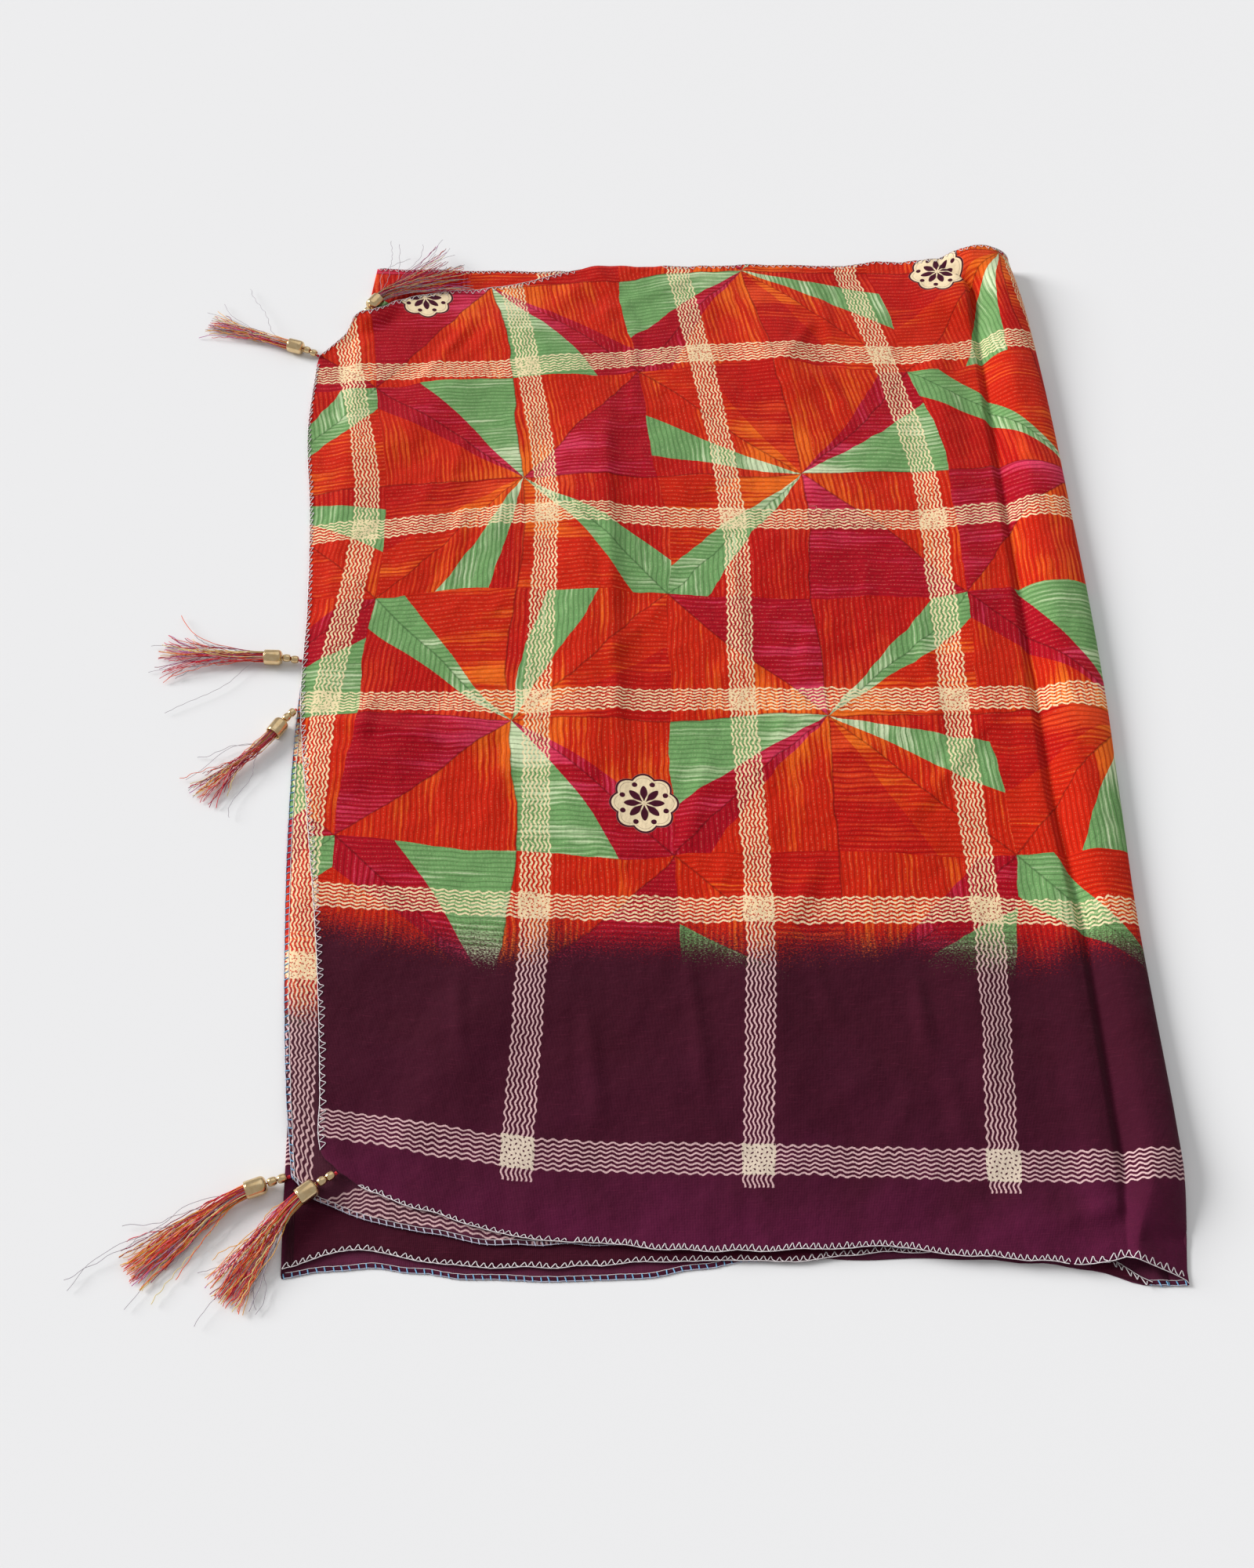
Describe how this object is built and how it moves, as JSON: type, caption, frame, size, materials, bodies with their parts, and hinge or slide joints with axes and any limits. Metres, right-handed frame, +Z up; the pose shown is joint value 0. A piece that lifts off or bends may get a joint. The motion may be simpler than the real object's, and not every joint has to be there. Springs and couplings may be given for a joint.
{
  "type": "folded wrap scarf",
  "caption": "Long printed cloth wrap scarf folded in four and laid flat, with a soft open fold along one side, whipped edges, and beaded thread tassels on its short ends.",
  "frame": {"origin": "a point in the middle of the flat underside, where the lower layer rests on the table", "axes": "+X across the folded scarf towards the big outer fold, +Y along the fold from the near hem to the back hem, +Z up from the table"},
  "size_m": [0.7363, 0.9375, 0.025],
  "materials": {
    "print_face": "thin printed cotton-like cloth, right side, matt with a faint sheen",
    "print_back": "the same cloth, wrong side, with the print showing through paler",
    "gold_metal": "bright gold-coloured metal, smooth",
    "tassel_thread": "twisted thread in mixed crimson, orange and purple, soft sheen"
  },
  "bodies": {
    "root": {"cloth_upper": "print_face", "cloth_second": "print_back", "cloth_core": "print_face", "cloth_lower": "print_back", "tassel_top_back_tie": "tassel_thread", "tassel_top_back_bead_1": "gold_metal", "tassel_top_back_bead_2": "gold_metal", "tassel_top_back_cap": "gold_metal", "tassel_top_back_strands": "tassel_thread", "tassel_top_middle_tie": "tassel_thread", "tassel_top_middle_bead_1": "gold_metal", "tassel_top_middle_bead_2": "gold_metal", "tassel_top_middle_cap": "gold_metal", "tassel_top_middle_strands": "tassel_thread", "tassel_top_near_tie": "tassel_thread", "tassel_top_near_bead_1": "gold_metal", "tassel_top_near_bead_2": "gold_metal", "tassel_top_near_cap": "gold_metal", "tassel_top_near_strands": "tassel_thread", "tassel_under_back_tie": "tassel_thread", "tassel_under_back_bead_1": "gold_metal", "tassel_under_back_bead_2": "gold_metal", "tassel_under_back_cap": "gold_metal", "tassel_under_back_strands": "tassel_thread", "tassel_under_middle_tie": "tassel_thread", "tassel_under_middle_bead_1": "gold_metal", "tassel_under_middle_bead_2": "gold_metal", "tassel_under_middle_cap": "gold_metal", "tassel_under_middle_strands": "tassel_thread", "tassel_under_near_tie": "tassel_thread", "tassel_under_near_bead_1": "gold_metal", "tassel_under_near_bead_2": "gold_metal", "tassel_under_near_cap": "gold_metal", "tassel_under_near_strands": "tassel_thread"}
  },
  "joints": []
}
